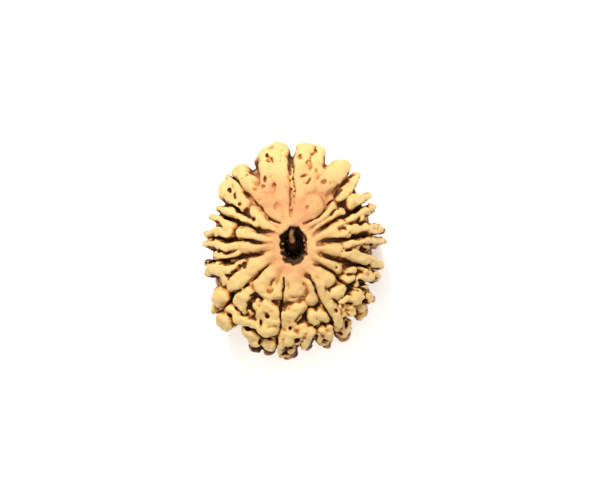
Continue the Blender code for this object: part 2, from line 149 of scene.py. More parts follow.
class Field:
    """Distances on a grid, which shapes are merged into or cut out of with a soft edge."""

    def __init__(self, low, high):
        self.low = np.array(low, dtype=np.float32)
        counts = np.ceil((np.array(high) - low) / GRID_STEP).astype(int)
        self.gap = np.empty(counts, dtype=np.float32)
        random = np.random.default_rng(GROWTH_SEED)
        self.wander = sum(size * growth_noise(counts, spacing, random, 3) for spacing, size in WANDER)
        self.wrinkles = sum(size * growth_noise(counts, spacing, random, 1) for spacing, size in WRINKLES)

    def points(self, box):
        """The grid's points in a box, each moved by the wander."""
        spans = [box[k].indices(self.gap.shape[k])[:2] for k in range(3)]
        axes = [self.low[k] + GRID_STEP * np.arange(*spans[k], dtype=np.float32) for k in range(3)]
        return np.stack(np.meshgrid(*axes, indexing="ij"), axis=-1) + self.wander[box]

    def box_round(self, low, high):
        """The box of the grid between two corners."""
        start = np.clip(((low - self.low) / GRID_STEP).astype(int), 0, None)
        stop = np.clip(((high - self.low) / GRID_STEP).astype(int) + 2, 0, self.gap.shape)
        return tuple(slice(a, b) for a, b in zip(start, stop))

    def bar_gap(self, centre, width, margin, inward=None, root=None, flare=0.0):
        """Distances to a bent round bar, or to a wall rooted inward under it, in its own box."""
        if inward is None:
            inward, root = np.zeros_like(centre), np.zeros(len(centre))
        ends = np.concatenate([centre, centre + root[:, None] * inward])
        reach = width.max() + max(flare, 0) * root.max() + margin
        box = self.box_round(ends.min(axis=0) - reach, ends.max(axis=0) + reach)
        points = self.points(box)
        nearest = np.full(points.shape[:-1], np.inf, dtype=np.float32)
        for k in range(len(centre) - 1):
            axis = (centre[k + 1] - centre[k]).astype(np.float32)
            down = inward[k].astype(np.float32)
            offset = points - centre[k].astype(np.float32)
            share = np.clip(offset @ (axis / (axis @ axis)), 0, 1)
            offset -= share[..., None] * axis
            sunk = np.clip(offset @ down, 0, root[k] + (root[k + 1] - root[k]) * share)
            offset -= sunk[..., None] * down
            gap = np.sqrt(np.einsum("...k,...k->...", offset, offset))
            gap -= width[k] + (width[k + 1] - width[k]) * share + flare * sunk
            np.minimum(nearest, gap, out=nearest)
        return box, nearest

    def merge(self, box, gap, soft):
        """Add a shape, with a soft seam."""
        near = np.clip(soft - np.abs(self.gap[box] - gap), 0, None)
        self.gap[box] = np.minimum(self.gap[box], gap) - near * near / (4 * soft)

    def cut(self, box, gap, soft):
        """Take a shape away, with a soft edge."""
        near = np.clip(soft - np.abs(self.gap[box] + gap), 0, None)
        self.gap[box] = np.maximum(self.gap[box], -gap) + near * near / (4 * soft)


field = Field(-np.array(GRID_REACH), np.array(GRID_REACH))
everywhere = (slice(None),) * 3
points = field.points(everywhere)
azimuth, radius = polar(points)
hollow = np.interp(radius, *np.array(HOLLOWS).T)
for middle, spread, reach in (FULL_FACES, FULL_LOBES):
    full = share_within(np.degrees(azimuth), middle, spread) * (1 - ramp(radius, reach, reach + FULL_FADE))
    hollow *= 1 - FULLNESS * full
field.gap[:] = skin_gap(points) + hollow

# Ribs and knobs
# Each face of the stone grew ribs and knobs that stand over the flesh, close-set and rounded.
# Every rib is a row of stations (azimuth, radius, half width), then its rise over the skin.

RIBS = [
    ([(16, 4.6, 0.9), (24, 7, 1.4)], 0.1),
    ([(8, 4.6, 0.8), (8, 8.5, 1.15)], 0),
    ([(5, 8.5, 1), (5.5, 12.3, 1.15), (6.5, 14.3, 1.35)], 0.1),
    ([(14.5, 8.8, 0.8), (15.5, 11.6, 0.95), (14.5, 14.5, 1)], 0),
    ([(25.5, 9.9, 1.2), (28, 11.5, 1.5), (30.5, 13.3, 1.4), (32, 14.5, 0.75)], 0.3),
    ([(30, 3.7, 0.45), (39, 5.2, 0.4), (43, 6.6, 0.45), (43, 8.6, 0.48)], 0.2),
    ([(48, 5.2, 0.3), (51.5, 7, 0.42), (53, 8.9, 0.52)], 0),
    ([(42.5, 10, 0.5), (43.5, 11.6, 0.68), (42.3, 13.3, 0.6), (41, 14.5, 0.4)], 0),
    ([(51.5, 10.65, 0.78), (53.5, 12, 0.7), (56.2, 13.7, 0.38)], 0),
    ([(67, 4.4, 0.5), (69.5, 6.2, 0.8)], 0.1),
    ([(66, 6.2, 0.5), (64, 8.1, 0.4)], 0.1),
    ([(73.5, 6.2, 0.6), (75.3, 8, 0.5)], 0.1),
    ([(63, 9.1, 0.38), (62.3, 11.3, 0.4), (63.4, 13.4, 0.36)], 0),
    ([(66.5, 9, 0.5), (67, 11.3, 0.55)], -0.9),
    ([(71.5, 8.7, 0.6), (75, 10.6, 0.72), (77, 12.3, 0.66), (78.8, 13.8, 0.42)], 0.1),
    ([(91.5, 4.3, 0.55), (92, 6.2, 0.85)], 0.1),
    ([(87.5, 7.9, 0.6), (85.3, 9.8, 0.42), (84.8, 12, 0.42), (86.5, 13.8, 0.42)], 0),
    ([(89.7, 9.2, 0.45), (89.8, 11, 0.45)], -0.5),
    ([(97, 7.3, 0.5), (98.7, 8.7, 0.6), (99.3, 10.9, 0.8), (101, 12.5, 0.6), (102.4, 13.6, 0.38)], 0.1),
    ([(94.5, 9, 0.32), (97.5, 10.3, 0.6)], 0.1),
    ([(114, 4.7, 0.45), (115, 7.1, 0.74)], 0.1),
    ([(109.5, 9.5, 0.42), (113, 8.9, 0.5)], 0),
    ([(118, 9.6, 0.5), (121, 9.1, 0.62)], 0),
    ([(115, 10.7, 0.62), (112.5, 11.5, 0.72), (110.3, 12.5, 0.5)], 0.1),
    ([(110.4, 12.3, 0.45), (109.8, 13.6, 0.3)], -0.6),
    ([(121.5, 10.5, 0.5), (121.8, 11, 0.4)], -0.5),
    ([(136, 4.9, 0.75), (133.5, 7.1, 0.95)], 0.1),
    ([(146, 4.7, 0.5), (146.3, 8.7, 0.62), (147, 11.3, 0.72), (149.8, 13.4, 0.5)], 0.15),
    ([(130, 9.5, 0.55), (138, 9.15, 0.72)], 0),
    ([(137, 10.7, 0.38), (132.5, 11.3, 0.6), (128.7, 12, 0.82)], 0.2),
    ([(119.8, 12.3, 0.42), (122.8, 11.8, 0.45)], -0.1),
    ([(123, 13.1, 0.55), (123.8, 14.1, 0.6)], 0.1),
    ([(131.8, 13.6, 0.42), (131, 14.2, 0.45)], -0.1),
    ([(131.5, 14.8, 0.45), (135, 14.7, 0.5)], 0),
    ([(135.8, 12.6, 0.45), (139, 11.5, 0.42)], -0.1),
    ([(138.8, 13.2, 0.42), (143, 12.4, 0.42)], 0.1),
    ([(141.3, 11.1, 0.2), (142, 12.4, 0.22)], 0.1),
    ([(145.5, 14.3, 0.65), (148.5, 15, 0.85), (150.5, 15.3, 0.6)], 0),
    ([(156.5, 5.8, 0.5), (158.3, 7.2, 0.75), (160.5, 8.2, 0.82)], 0.1),
    ([(176, 4.2, 0.95), (176.5, 6.3, 1.3)], 0.1),
    ([(171, 8.9, 0.55), (178, 9.3, 0.9), (184, 9.9, 1.3)], 0.05),
    ([(156.8, 10.6, 0.66), (155, 11.3, 0.5)], 0.1),
    ([(163.8, 10.3, 0.62), (163.2, 11.8, 0.36)], 0.15),
    ([(167.6, 11.1, 0.22), (167.6, 11.15, 0.22)], -0.5),
    ([(168.6, 12.3, 0.72), (171.3, 14.1, 0.5), (174.2, 15.6, 0.36)], 0.15),
    ([(173.5, 12, 0.75), (180, 12.3, 0.95)], 0.3),
    ([(183.5, 10.6, 1), (184, 11.9, 0.9)], 0.1),
    ([(175.5, 13.2, 0.5), (176.5, 14, 0.4)], -0.2),
    ([(184, 12.9, 0.95), (183.5, 14, 0.8)], 0.25),
    ([(178.2, 14.55, 0.42), (178.3, 14.6, 0.42)], 0.1),
    ([(181.3, 15.8, 0.5), (181.4, 15.9, 0.5)], 0.1),
    ([(187, 14.4, 0.45), (187.2, 16.1, 0.5)], 0),
    ([(183.5, 16.6, 0.42), (187, 16.4, 0.45)], -0.1),
    ([(161, 13, 0.55), (158.2, 14.3, 0.72)], 0.2),
    ([(155.4, 12.9, 0.32), (156, 14.7, 0.38)], 0),
    ([(164.6, 13.9, 0.42), (164.6, 14.9, 0.5)], 0.05),
    ([(158, 15.3, 0.4), (164, 15.3, 0.45)], -0.5),
    ([(199, 5.2, 0.4), (199.3, 7.2, 0.8)], 0.1),
    ([(220, 4.9, 0.8), (220.5, 7, 1.25)], 0.1),
    ([(206, 7.9, 0.65), (212, 7.9, 0.6)], -0.1),
    ([(196.3, 9.75, 0.75), (203, 9.4, 0.9)], 0.1),
    ([(195.3, 12.3, 0.95), (199.6, 12.5, 1.1)], 0.2),
    ([(194.8, 10.9, 0.9), (200, 11.4, 0.9), (203.5, 10.6, 0.7)], 0.05),
    ([(206, 11.5, 0.6), (207.5, 10.2, 0.5)], -0.1),
    ([(225.6, 9.3, 0.75), (224, 10.6, 1.05), (219.5, 11.7, 0.65)], 0.15),
    ([(205, 12.4, 0.55), (212, 12.95, 0.6), (217.6, 13.8, 0.55), (223, 13, 0.52), (227, 13.6, 0.52)], 0.15),
    ([(223.4, 15.5, 1.1), (223.2, 15.8, 1.1)], 1.0),
    ([(194.4, 15.1, 0.9), (194.2, 15.4, 0.85)], 0),
    ([(202, 15.5, 0.85), (208.5, 14.9, 0.75)], 0.05),
    ([(213, 9.2, 0.3), (212, 9.7, 0.3)], -0.35),
    ([(211, 10.4, 0.3), (214.5, 10.2, 0.3)], -0.3),
    ([(212.2, 11.5, 0.3), (214, 11.3, 0.25)], -0.3),
    ([(246, 4.8, 0.75), (242.5, 7, 0.95), (238.6, 9.5, 0.82), (237.3, 10.7, 0.66)], 0.15),
    ([(250, 4.9, 0.45), (249, 6.4, 0.7)], 0),
    ([(253, 7.7, 0.35), (252, 9.3, 0.45)], -0.1),
    ([(236, 12.7, 0.95), (235, 13.6, 1.05)], 0.1),
    ([(232, 15.4, 0.5), (232.2, 15.5, 0.5)], -0.2),
    ([(241.5, 11.4, 0.45), (246, 11, 0.5)], -0.1),
    ([(251, 10, 0.6), (253.7, 11.6, 0.8), (255, 13.1, 0.5)], 0.15),
    ([(259.6, 12.6, 0.36), (259.6, 13.7, 0.28)], -0.8),
    ([(268, 4.8, 0.5), (268, 7.2, 0.78)], 0.1),
    ([(263.6, 8, 0.36), (263.5, 9.6, 0.3), (264.2, 11.5, 0.5)], 0),
    ([(271.5, 8.2, 0.48), (270.8, 10, 0.52), (271.8, 12, 0.45), (272.2, 13.4, 0.3)], 0.05),
    ([(286.5, 4.6, 0.45), (285.8, 6.4, 0.55), (284.6, 7.9, 0.68)], 0.1),
    ([(281, 9.9, 0.6), (281, 11.2, 0.6), (279.4, 13, 0.38)], 0.1),
    ([(288.5, 9.9, 0.5), (289.5, 11, 0.42), (290.3, 12.8, 0.38)], 0.1),
    ([(281.5, 10.1, 0.65), (288, 10.1, 0.6)], 0.05),
    ([(301, 6.4, 0.42), (300.4, 7.5, 0.42), (299, 9, 0.38), (298.8, 10.8, 0.6), (297.4, 12.5, 0.3)], 0),
    ([(315, 3.6, 0.42), (309.5, 5.1, 0.6), (309.5, 6.7, 0.85), (312.3, 8.1, 0.72)], 0.1),
    ([(311.3, 9.8, 0.95), (311.5, 11.9, 1.15), (311, 13.3, 1.1)], 0.05),
    ([(315.5, 11.5, 0.6), (316.8, 14.3, 0.4)], 0),
    ([(334, 4.8, 0.85), (330, 7.4, 1.45)], 0.1),
    ([(350, 4.9, 0.8), (347, 7.8, 1.15), (348, 10.5, 1.2)], 0.15),
    ([(325.5, 9, 0.9), (325, 11.3, 0.9), (324.6, 13.8, 1.05)], 0),
    ([(334, 9.5, 1), (339, 11, 1.1), (343, 13.1, 1.2)], 0),
    ([(348.5, 12, 1.5), (349.3, 14.1, 1.65)], 0.1),
    ([(341, 12, 1.2), (345.2, 13.9, 1.6)], 0.1),
]

# Rib tips that make the outline round the girdle: azimuth, reach, half width
TIPS = [
    (7, 15.8, 1.3), (14.3, 15.5, 0.9), (31.3, 15.3, 1.1), (40.8, 14.9, 0.5), (56.4, 14.2, 0.45),
    (63.4, 13.8, 0.36), (79, 14.2, 0.5), (86.6, 14.1, 0.45), (102.5, 13.9, 0.45), (110, 13.9, 0.42),
    (124, 15, 0.6), (133, 15.4, 0.8), (150.5, 16.4, 1), (160.5, 16.4, 0.9), (172, 15.9, 0.7),
    (183.5, 17.2, 1.2), (193.6, 16.8, 0.9), (201.5, 17, 1), (209, 15.6, 0.8), (223, 16.8, 1.1),
    (231, 16.2, 0.6), (237, 14.6, 1), (253.8, 14.2, 0.6), (259.6, 14, 0.4), (272, 14, 0.4),
    (278.2, 13.9, 0.4), (290.2, 13.5, 0.4), (297.2, 13.1, 0.4), (310.5, 14.5, 1.2), (317, 15, 0.5),
    (324, 15.2, 1.1), (341.5, 15.2, 1.1), (350.5, 16, 1.6),
]

SEED = 13
# Everywhere the ribs swell by one share, and the crown's shoulder is lifted between two radii.
# On the knobby side, round one azimuth, the knobs are fatter still between two radii, stand on
# a shoulder that is lifted more, and are set back from the rim
KNOBBY_SIDE = 182
KNOBBY_SPREAD = 70
SWELL = 1.2
KNOBBY_SWELL = 0.22
KNOBBY_SWELL_OVER = (7, 10)
LIFT = 0.5
KNOBBY_LIFT = 1.7
LIFT_OVER = (11.5, 15.5)
KNOBBY_SET_BACK = 0.65
SET_BACK_OVER = (12, 15)
# Handling has worn the tops of the ribs down to this much over the skin
WORN_TOP = 0.2
WORN_SOFTNESS = 0.5
# How deep a rib is rooted in the flesh, and the steps from one of its stations to the next
ROOT = 3.2
STATION_STEPS = 3
# A rib that starts within one radius runs on in to another, at this share of its width
INNER_REACH = 5.5
INNER_END = 3.4
INNER_SHARE = 0.8
# Room round a knob in which its soft seam is worked out, and the seam by the knob's width
KNOB_MARGIN = 1
RIB_SOFTNESS = 0.16
# Slope of a rib's flanks by radius: broad wedges near the collar, upright knobs near the rim
FLARES = [(5, 0.5), (9, 0.1)]


def inward_at(points):
    """Directions straight into the stone from points near its skin."""
    step = 0.05
    slopes = [skin_gap(points + step * axis) - skin_gap(points - step * axis) for axis in np.eye(3)]
    slopes = np.stack(slopes, axis=-1)
    return -slopes / np.linalg.norm(slopes, axis=-1, keepdims=True)


def knobby_share(azimuth):
    """How far an azimuth in degrees is on the knobby side."""
    return share_within(azimuth, KNOBBY_SIDE, KNOBBY_SPREAD)


def shoulder_lift(azimuth, radius):
    """How far the crown's shoulder stands over the skin; takes degrees."""
    return (LIFT + KNOBBY_LIFT * knobby_share(azimuth)) * ramp(radius, *LIFT_OVER)


def chain(stations, rise, side):
    """Centres and widths along one rib, just under the skin of the crown or the foot."""
    if side > 0 and stations[0][1] < INNER_REACH:
        stations = [(stations[0][0], INNER_END, INNER_SHARE * stations[0][2])] + stations
    azimuth, radius, width = np.array(stations, dtype=float).T
    steps = np.linspace(0, len(stations) - 1, STATION_STEPS * (len(stations) - 1) + 1)
    azimuth, radius, width = (np.interp(steps, np.arange(len(stations)), row)
                              for row in (azimuth, radius, width))
    height = skin_height(np.radians(azimuth), radius, width - rise)
    if side > 0:
        radius = radius - KNOBBY_SET_BACK * knobby_share(azimuth) * ramp(radius, *SET_BACK_OVER)
        width = width * (SWELL + KNOBBY_SWELL * knobby_share(azimuth) * ramp(radius, *KNOBBY_SWELL_OVER))
        height += shoulder_lift(azimuth, radius)
    centre = place(np.radians(azimuth), radius, side * height)
    return centre, width, inward_at(centre), np.full(len(width), ROOT)


# Side ribs start and end at these shares of the half height. On the knobby side, between two
# azimuths, the crown's knobs overhang them: there they end lower, and draw back over a span of
# heights
SIDE_SPAN = (-0.6, 0.6)
OVERHUNG = (112, 252)
OVERHUNG_TOP = 0.35
DRAWN_BACK = 1.4
DRAWN_BACK_OVER = (-1.5, 0.4)
# Knobs along each rib of the side, and how far they stray in degrees, in width and in reach
SIDE_KNOBS = 13
SIDE_SWAY = 4
SIDE_UNEVEN = 0.45
SIDE_STRAY = 0.4


def girdle_chains(random):
    """Rib tips, each carried down the side from the crown to the foot as a row of knobs."""
    chains = []
    for azimuth, reach, width in TIPS:
        overhung = OVERHUNG[0] < azimuth < OVERHUNG[1]
        top = OVERHUNG_TOP if overhung else SIDE_SPAN[1]
        heights = HALF_HEIGHT * np.linspace(SIDE_SPAN[0], top, SIDE_KNOBS)
        from_tip = np.abs(heights) / (SIDE_SPAN[1] * HALF_HEIGHT)
        sway = azimuth + SIDE_SWAY * from_tip * random.uniform(-1, 1, SIDE_KNOBS)
        knob = width * (1 + np.sqrt(from_tip) * random.uniform(-SIDE_UNEVEN, SIDE_UNEVEN, SIDE_KNOBS))
        radius = reach * (1 - np.abs(heights / HALF_HEIGHT) ** SIDE_POWER) ** (1 / CROWN_POWER)
        radius += from_tip * random.uniform(-SIDE_STRAY, SIDE_STRAY, SIDE_KNOBS) - knob
        if overhung:
            radius -= DRAWN_BACK * ramp(heights, *DRAWN_BACK_OVER)
        centre = place(np.radians(sway), radius, heights)
        chains.append((centre, knob, inward_at(centre), np.full(len(knob), ROOT)))
    return chains


# Half width of the smooth lobe in each face of the foot, for each degree that the face spans,
# its share at the collar, the sway of its middle in degrees, the radius it reaches, and its rise
FOOT_LOBE = 0.04
FOOT_LOBE_START = 0.7
FOOT_LOBE_SWAY = 1
FOOT_LOBE_END = 9
FOOT_LOBE_RISE = 0.1
# Ribs of the foot: the half width of their knobs over a share of the tip's, their sway in
# degrees, where they start, the radius halfway between which and the tip their middle lies, how
# far short of the tip they end, the share of the width at both ends, and the most that they rise
FOOT_KNOB = 0.25
FOOT_KNOB_SHARES = (0.9, 1.2)
FOOT_RIB_SWAY = 2
FOOT_RIB_START = 10.2
FOOT_RIB_MIDDLE = 8.4
FOOT_RIB_SHORT = 1.8
FOOT_RIB_ENDS = 0.8
FOOT_RIB_RISE = 0.2


def foot_chains(random, ends):
    """Ribs of the underside: a smooth lobe in each face, then a knobbed rib to every tip."""
    chains = []
    for start, end in zip(ends, ends[1:] + [ends[0] + 360]):
        middle = (start + end) / 2 + random.uniform(-FOOT_LOBE_SWAY, FOOT_LOBE_SWAY)
        width = FOOT_LOBE * (end - start)
        stations = [(middle, FOOT_COLLAR, FOOT_LOBE_START * width), (middle, FOOT_LOBE_END, width)]
        chains.append(chain(stations, FOOT_LOBE_RISE, -1))
    for azimuth, reach, width in TIPS:
        knob = FOOT_KNOB + width * random.uniform(*FOOT_KNOB_SHARES)
        lean = azimuth + random.uniform(-FOOT_RIB_SWAY, FOOT_RIB_SWAY)
        stations = [(lean, FOOT_RIB_START, FOOT_RIB_ENDS * knob),
                    (azimuth, (reach + FOOT_RIB_MIDDLE) / 2, knob),
                    (azimuth, reach - FOOT_RIB_SHORT, FOOT_RIB_ENDS * knob)]
        chains.append(chain(stations, random.uniform(0, FOOT_RIB_RISE), -1))
    return chains


# Furrows and creases
# Thirteen furrows run from pole to pole where the fruit's cells met; finer creases and pits
# part the knobs. A furrow is a line of (azimuth, radius, width) points on the crown.

FURROWS = [
    [(356, 4.6, 0.15), (357, 6, 0.3), (358.5, 8, 0.42), (358.5, 10, 0.42), (358.5, 12, 0.42),
     (358, 14.3, 0.4)],
    [(382, 3.8, 0.25), (390, 4.6, 0.38), (396, 5.5, 0.4), (398, 7, 0.38), (397.7, 8.2, 0.3),
     (399.5, 9.5, 0.45), (399, 11, 0.4), (398, 12.5, 0.36), (397, 14, 0.3)],
    [(415, 4.3, 0.45), (415.5, 5, 0.65), (416.5, 6.5, 0.5), (417, 8, 0.42), (418.3, 9.2, 0.5),
     (418, 10.5, 0.6), (418.5, 11.8, 0.65)],
    [(438, 4, 0.4), (439.5, 5.5, 0.6), (441, 7, 0.7), (441, 9, 0.5), (441.4, 11, 0.5), (441.6, 13.3, 0.36)],
    [(463, 4.2, 0.5), (464.6, 5, 0.8), (465.6, 6.5, 0.7), (466, 8.5, 0.55), (465.6, 10.5, 0.65),
     (465.5, 12, 0.45)],
    [(489, 4.2, 0.3), (483.8, 5, 0.42), (482.4, 6, 0.38), (483.5, 7.8, 0.34), (485.5, 9.2, 0.45),
     (484.6, 10.6, 0.45), (481.5, 12, 0.3), (480.3, 13, 0.3)],
    [(513.5, 4.5, 0.42), (512, 5.5, 0.3), (511.5, 7, 0.3), (513, 8.3, 0.4), (512.5, 9.5, 0.36),
     (511.5, 10.8, 0.32), (512, 12, 0.3), (513.3, 13.5, 0.36), (514.5, 15, 0.4)],
    [(558, 4.5, 0.15), (554, 6, 0.2), (552, 7.5, 0.28), (552.3, 8.8, 0.34), (551, 10.5, 0.26),
     (550, 12, 0.3), (549.5, 14, 0.36), (549.5, 16, 0.4)],
    [(596, 4.3, 0.25), (595, 5.5, 0.36), (593, 6.8, 0.42), (592, 8.2, 0.36), (592, 10, 0.36),
     (591.8, 11.3, 0.5), (589.6, 12.5, 0.5), (589, 14, 0.5), (589, 15.5, 0.4)],
    [(617, 4.6, 0.4), (618.4, 5.5, 0.6), (618.4, 7, 0.6), (619.4, 8.5, 0.5), (619.6, 10, 0.42),
     (620, 11.5, 0.32), (620, 13, 0.42)],
    [(636, 4.4, 0.4), (637.5, 5.5, 0.65), (637.8, 7, 0.55), (637.2, 8.3, 0.42), (636.2, 9.8, 0.6),
     (635.6, 11, 0.5), (636.6, 12.5, 0.3)],
    [(666, 3.7, 0.3), (659, 4.6, 0.5), (655.3, 5.4, 0.72), (655.3, 6.4, 0.56), (655.6, 7.7, 0.6),
     (654.4, 9, 0.55), (653, 10.2, 0.52), (654, 11.5, 0.6), (654.6, 12.7, 0.4)],
    [(691, 4, 0.25), (684.5, 4.8, 0.42), (681, 5.7, 0.44), (680, 7, 0.26), (680.3, 8, 0.28),
     (679.2, 9, 0.36), (679.8, 10.5, 0.3), (679.5, 12, 0.3), (678.9, 13.8, 0.36)],
]

SHORT_FURROWS = [[(664.6, 8.2, 0.2), (663, 9, 0.4), (663.4, 10, 0.5), (664.4, 11.3, 0.46),
                  (663.5, 12.2, 0.4)]]

FURROW_DEPTH = 2.6
# The first furrow, on the full side, is wider and half filled with crumbs
CRUMBED_DEPTH = 1.3
CRUMBED_WIDTH = 2.1
# A furrow's points over the crown, down the side and under the foot, the share of the girdle's
# radius at which the crown ends, and how many lengths between points are cut at once
CROWN_POINTS = 24
SIDE_POINTS = 12
FOOT_POINTS = 12
RIM = 0.96
STRETCH = 4
# On the crown and on the foot a furrow deepens over these lengths from its end near the bore
CROWN_RUN_IN = (-0.6, 2.2)
FOOT_RUN_IN = (0, 2.4)
LEAST_HALF = 0.16
FURROW_TAPER = 0.04
FURROW_SOFTNESS = 0.2
# Every slot starts this far over the skin, goes a little deeper than asked, and has a root
OVERCUT = 0.6
EXTRA_DEPTH = 0.1
LEAST_ROOT = 0.1
SLOT_MARGIN = 0.5

# Creases and pits of the crown: from azimuth and radius, to azimuth and radius, half width, depth
CREASES = [
    (18, 5.9, 17.2, 6.5, 0.16, 0.7), (20.5, 7.05, 21.5, 7.15, 0.2, 0.25), (7.5, 10.4, 10.3, 11, 0.22, 1.1),
    (12.8, 9.3, 14.3, 10.7, 0.24, 1.1), (8.5, 12.5, 10.2, 13.1, 0.16, 1.3), (12.4, 12.6, 11, 13.2, 0.14, 1.2),
    (10.4, 13.1, 12.1, 14.6, 0.15, 1.3), (12.1, 14.6, 11.2, 15.3, 0.13, 1.1), (3, 13.6, 3.2, 13.7, 0.25, 0.3),
    (16.6, 11.6, 15.8, 12.1, 0.16, 0.45), (23.5, 10.5, 25.5, 10.8, 0.26, 0.55),
    (29.8, 10.7, 30, 10.75, 0.16, 0.4), (27.5, 8.55, 31, 8.4, 0.14, 0.9), (31, 8.4, 34, 8.15, 0.16, 1),
    (34, 8.15, 37.5, 8.5, 0.2, 1.2), (20, 8.5, 27.5, 8.8, 0.1, 0.4), (48.6, 7, 47.3, 8.6, 0.2, 1.3),
    (41, 9.3, 45, 9.25, 0.17, 1.3), (45, 9.25, 48, 9.5, 0.2, 1.4), (48, 9.5, 56, 9.55, 0.17, 1.3),
    (69, 7.1, 69.5, 7.8, 0.2, 1), (67.3, 8, 69.5, 7.8, 0.14, 0.9), (69.5, 7.8, 72, 8, 0.14, 0.9),
    (70.3, 10.3, 70.5, 11.3, 0.25, 1.9), (74, 8.45, 77, 8.45, 0.14, 0.9), (85, 7.45, 91, 7.5, 0.1, 0.7),
    (93.6, 6.9, 95.5, 7.25, 0.17, 0.7), (92.8, 7.6, 93.2, 8.3, 0.28, 1.4), (91.5, 9.6, 93, 11.8, 0.42, 2.2),
    (91.5, 11.9, 89, 13, 0.32, 1.8), (115.5, 7.05, 115.7, 7.15, 0.14, 0.35),
    (109, 8.35, 121.5, 8.15, 0.13, 0.7), (116, 8.7, 114, 9.8, 0.2, 1.3), (114, 9.8, 110.5, 10.25, 0.2, 1.3),
    (117, 10.6, 116.5, 11.6, 0.3, 1.5), (128, 8.85, 131, 8.45, 0.13, 0.8), (131, 8.45, 136, 8.15, 0.16, 0.8),
    (136, 8.15, 141.5, 7.8, 0.14, 0.7), (127, 10.6, 131, 10.35, 0.2, 1.2), (131, 10.35, 140, 10.25, 0.2, 1.3),
    (140, 10.2, 142, 9.5, 0.13, 0.9), (127, 8.8, 127.3, 8.9, 0.2, 0.9), (133.5, 12, 136, 11.3, 0.2, 1.3),
    (144.6, 10.95, 146, 11.5, 0.17, 1.1), (139.5, 13.7, 144, 13.35, 0.2, 1.3),
    (144, 13.35, 147, 14.2, 0.2, 1.3), (141.5, 12.9, 142, 12, 0.12, 0.9), (126.3, 13.2, 128, 12.9, 0.22, 1.2),
    (131, 14.55, 131.6, 14.6, 0.16, 0.9), (151, 4.9, 157, 4.6, 0.28, 1), (165, 5.6, 165.5, 5.7, 0.15, 0.25),
    (168, 7.5, 187, 7.7, 0.14, 0.35), (156, 9.6, 160, 9.35, 0.17, 1.2), (160, 9.35, 165.5, 8.95, 0.2, 1.3),
    (165.5, 8.95, 168.5, 8.35, 0.16, 1), (170, 10.1, 174, 10.1, 0.22, 1.3),
    (174, 10.1, 177.3, 10.8, 0.22, 1.3), (158, 11.8, 161, 12, 0.25, 1.6), (161, 12, 164, 12.5, 0.22, 1.6),
    (182.5, 11.85, 182.8, 11.95, 0.26, 1), (178.6, 13.45, 178.4, 13.75, 0.34, 1.8),
    (180.5, 14.95, 186, 15.15, 0.2, 1.5), (184.5, 15.8, 186.5, 15.75, 0.3, 1.3),
    (176.5, 15.1, 177.5, 15.9, 0.25, 1.5), (161.8, 14.9, 163.2, 14.6, 0.25, 1.4),
    (166, 13.3, 168.5, 14.6, 0.3, 2), (211.6, 5.4, 210.2, 6.7, 0.17, 0.8), (210.2, 6.7, 207.5, 7.3, 0.1, 0.4),
    (192, 8.75, 196.5, 8.7, 0.15, 0.9), (193.3, 10.6, 196.7, 11.1, 0.14, 1),
    (201.3, 10.9, 201.8, 10.95, 0.24, 1.5), (205.2, 11.8, 203.6, 12.2, 0.13, 0.9),
    (209.5, 8.85, 214, 8.65, 0.17, 1.3), (214, 8.65, 219.5, 8.8, 0.17, 1.3),
    (216.5, 9.6, 216.5, 10.8, 0.3, 1.1), (219.5, 8.8, 221.6, 9.8, 0.16, 1.2),
    (216, 12.5, 220, 12.25, 0.16, 1.2), (220, 12.25, 225, 12.35, 0.16, 1.2), (192, 14.1, 200, 14.2, 0.2, 1.3),
    (200, 14.5, 199.5, 15.3, 0.14, 1.1), (207.5, 13.9, 210.5, 13.9, 0.3, 1.2),
    (222, 13.75, 224.5, 14.1, 0.17, 1.2), (216, 14.9, 217, 16.3, 0.5, 3), (247, 7.9, 251.5, 7.6, 0.28, 1.1),
    (249.8, 8.3, 250.3, 8.4, 0.18, 1.1), (246, 9.6, 249, 9.6, 0.17, 0.9), (245.6, 10.7, 247, 10.2, 0.17, 0.9),
    (244.5, 12.3, 249, 13.6, 0.65, 3), (265.6, 8.3, 266.5, 10, 0.12, 1), (266.5, 10, 267.5, 11, 0.16, 1.2),
    (285, 7.4, 290, 7.4, 0.1, 0.35), (278.5, 8.95, 289.5, 9.1, 0.14, 0.8), (286, 11.3, 286.6, 12.4, 0.3, 1.6),
    (304.6, 7.2, 305, 7.4, 0.24, 1), (306.3, 8.4, 310, 9, 0.1, 0.45), (310, 9, 314, 9.3, 0.14, 0.4),
    (308, 10.2, 308.2, 10.4, 0.2, 0.6), (310.3, 11.3, 312.2, 11.9, 0.22, 0.7),
    (311.2, 12.6, 311.4, 12.9, 0.28, 0.6), (334.5, 6.4, 338.5, 6.9, 0.25, 0.35),
    (336.8, 8.05, 338.8, 8, 0.12, 0.4), (340.5, 8.7, 341.3, 9.5, 0.2, 0.9),
    (341.8, 9.6, 342.3, 9.7, 0.36, 1.6), (335.7, 10.4, 337.6, 11.4, 0.25, 1.4),
    (332.3, 10.1, 333, 10.2, 0.28, 1), (325.3, 10.5, 326.3, 10.4, 0.3, 0.6), (328, 9.6, 333, 9.1, 0.12, 0.45),
    (327.4, 12.5, 327.5, 12.9, 0.22, 0.6), (343.2, 14.5, 342.4, 13, 0.14, 0.7),
    (343.4, 14.3, 346, 12.9, 0.14, 0.7), (350.8, 13.2, 353, 14.5, 0.12, 0.5),
]


def cut_slot(skin, inward, half, depth, taper, softness):
    """Cut a slot along skin points, from over the skin down to its floor, narrower with depth."""
    root = np.maximum(OVERCUT + EXTRA_DEPTH + depth - half, LEAST_ROOT)
    slot = field.bar_gap(skin - OVERCUT * inward, half, SLOT_MARGIN, inward, root, -taper)
    field.cut(*slot, softness)


